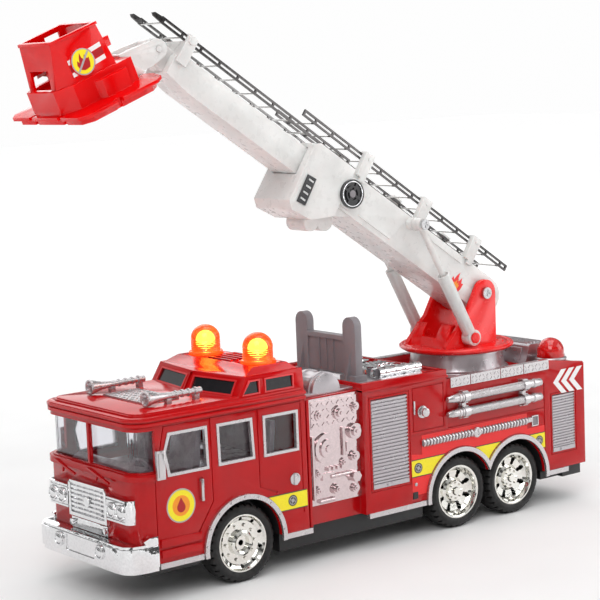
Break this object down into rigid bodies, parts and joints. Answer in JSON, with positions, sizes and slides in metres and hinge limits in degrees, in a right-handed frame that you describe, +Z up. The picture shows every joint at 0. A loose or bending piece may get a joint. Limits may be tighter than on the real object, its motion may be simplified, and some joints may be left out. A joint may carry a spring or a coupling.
{
  "type": "toy fire engine",
  "caption": "Toy ladder fire engine with a turntable, telescopic boom with ladders, tilting rescue basket and rolling wheels.",
  "frame": {"origin": "on the ground plane under the wheels, at the middle of the overall length and width in the stored pose", "axes": "+X towards the cab and bumper, +Y to the truck's left, +Z up"},
  "size_m": [0.3342, 0.0978, 0.2895],
  "materials": {
    "red_plastic": "deep red moulded plastic, high gloss",
    "bright_red_plastic": "bright red, slightly translucent, glossy",
    "white_plastic": "white, slightly translucent, soft gloss",
    "black_plastic": "black, fine matt grain",
    "dark_plastic": "near-black, glossy",
    "grey_plastic": "mid grey, satin",
    "silver_plastic": "silver-painted plastic, satin metallic",
    "chrome_plastic": "chrome-plated plastic, mirror bright",
    "clear_plastic": "clear moulded plastic",
    "interior_plastic": "grey-mauve, satin",
    "lamp_plastic": "orange-red translucent lens, lit from inside",
    "red_lens": "red translucent lens",
    "amber_lens": "amber translucent lens",
    "tyre": "black soft vinyl, matt",
    "steel": "plain zinc-plated steel",
    "cells": "printed metal can",
    "board": "green solder-masked board"
  },
  "bodies": {
    "truck": {"chassis": "black_plastic", "battery_door": "black_plastic", "batteries": "cells", "screws": "steel", "motor": "steel", "gearbox": "grey_plastic", "circuit_board": "board", "speaker": "black_plastic", "cab_shell": "red_plastic", "window_frames": "silver_plastic", "glazing": "clear_plastic", "cab_interior": "interior_plastic", "cab_roof": "red_plastic", "pod_glazing": "dark_plastic", "roof_lights": "lamp_plastic", "air_horns": "silver_plastic", "roof_tread": "silver_plastic", "grille": "chrome_plastic", "headlights": "chrome_plastic", "bumper": "chrome_plastic", "side_fittings": "silver_plastic", "body_shell": "red_plastic", "pump_panels": "chrome_plastic", "shutters": "silver_plastic", "suction_hoses": "silver_plastic", "side_mouldings": "grey_plastic", "tread_strips": "silver_plastic", "deck": "silver_plastic", "cradle": "grey_plastic", "deck_gear": "chrome_plastic", "deck_mounts": "silver_plastic", "rear_box": "silver_plastic", "beacon_left": "red_lens", "beacon_right": "amber_lens", "side_trims": "silver_plastic", "tail_lights": "red_lens"},
    "front_wheels": {"axle_front": "steel", "tyres_front": "tyre", "rims_front": "chrome_plastic"},
    "middle_wheels": {"axle_mid": "steel", "tyres_mid": "tyre", "rims_mid": "chrome_plastic"},
    "rear_wheels": {"axle_rear": "steel", "tyres_rear": "tyre", "rims_rear": "chrome_plastic"},
    "turntable": {"turntable": "bright_red_plastic"},
    "boom": {"outer_boom": "white_plastic", "boom_fittings": "dark_plastic", "boom_screws": "steel", "ladder_brackets": "white_plastic", "lower_ladder": "chrome_plastic"},
    "inner_boom": {"inner_boom": "white_plastic", "upper_ladder": "chrome_plastic"},
    "basket": {"basket_arm": "white_plastic", "basket": "bright_red_plastic"},
    "strut_tube_left": {"strut_tube_left": "white_plastic"},
    "strut_tube_right": {"strut_tube_right": "white_plastic"},
    "strut_rod_left": {"strut_rod_left": "white_plastic"},
    "strut_rod_right": {"strut_rod_right": "white_plastic"},
    "power_switch": {"power_switch": "black_plastic"}
  },
  "joints": [
    {"name": "front_axle_spin", "type": "hinge", "parent": "truck", "child": "front_wheels", "pos_m": [0.08497, 0, 0.0202], "axis": [0, 1, 0], "continuous": true},
    {"name": "middle_axle_spin", "type": "hinge", "parent": "truck", "child": "middle_wheels", "pos_m": [-0.06473, 0, 0.0202], "axis": [0, 1, 0], "continuous": true},
    {"name": "rear_axle_spin", "type": "hinge", "parent": "truck", "child": "rear_wheels", "pos_m": [-0.10783, 0, 0.0202], "axis": [0, 1, 0], "continuous": true},
    {"name": "turntable_swivel", "type": "hinge", "parent": "truck", "child": "turntable", "pos_m": [-0.10373, 0, 0.094], "axis": [0, 0, 1], "continuous": true},
    {"name": "boom_raise", "type": "hinge", "parent": "turntable", "child": "boom", "pos_m": [-0.11153, 0, 0.1255], "axis": [0, -1, 0], "range_deg": [-22, 12]},
    {"name": "boom_extend", "type": "slide", "parent": "boom", "child": "inner_boom", "axis": [0.829, 0, 0.5592], "range_m": [-0.085, 0]},
    {"name": "basket_tilt", "type": "hinge", "parent": "inner_boom", "child": "basket", "pos_m": [0.10019, 0, 0.2712], "axis": [0, -1, 0], "range_deg": [0, 45]},
    {"name": "strut_tube_left_swing", "type": "hinge", "parent": "turntable", "child": "strut_tube_left", "pos_m": [-0.09503, 0.0221, 0.102], "axis": [0, -1, 0], "range_deg": [-20, 11]},
    {"name": "strut_tube_right_swing", "type": "hinge", "parent": "turntable", "child": "strut_tube_right", "pos_m": [-0.09503, -0.0221, 0.102], "axis": [0, -1, 0], "range_deg": [-20, 11]},
    {"name": "strut_rod_left_swing", "type": "hinge", "parent": "boom", "child": "strut_rod_left", "pos_m": [-0.05857, 0.0221, 0.17002], "axis": [0, -1, 0], "range_deg": [-2, 4]},
    {"name": "strut_rod_right_swing", "type": "hinge", "parent": "boom", "child": "strut_rod_right", "pos_m": [-0.05857, -0.0221, 0.17002], "axis": [0, -1, 0], "range_deg": [-2, 4]},
    {"name": "power_switch_slide", "type": "slide", "parent": "truck", "child": "power_switch", "axis": [1, 0, 0], "range_m": [-0.0022, 0.0022]}
  ],
  "couplings": [
    {"joint": "strut_tube_left_swing", "follows": "boom_raise", "ratio": 0.855},
    {"joint": "strut_tube_right_swing", "follows": "boom_raise", "ratio": 0.855},
    {"joint": "strut_rod_left_swing", "follows": "boom_raise", "ratio": -0.145},
    {"joint": "strut_rod_right_swing", "follows": "boom_raise", "ratio": -0.145}
  ]
}
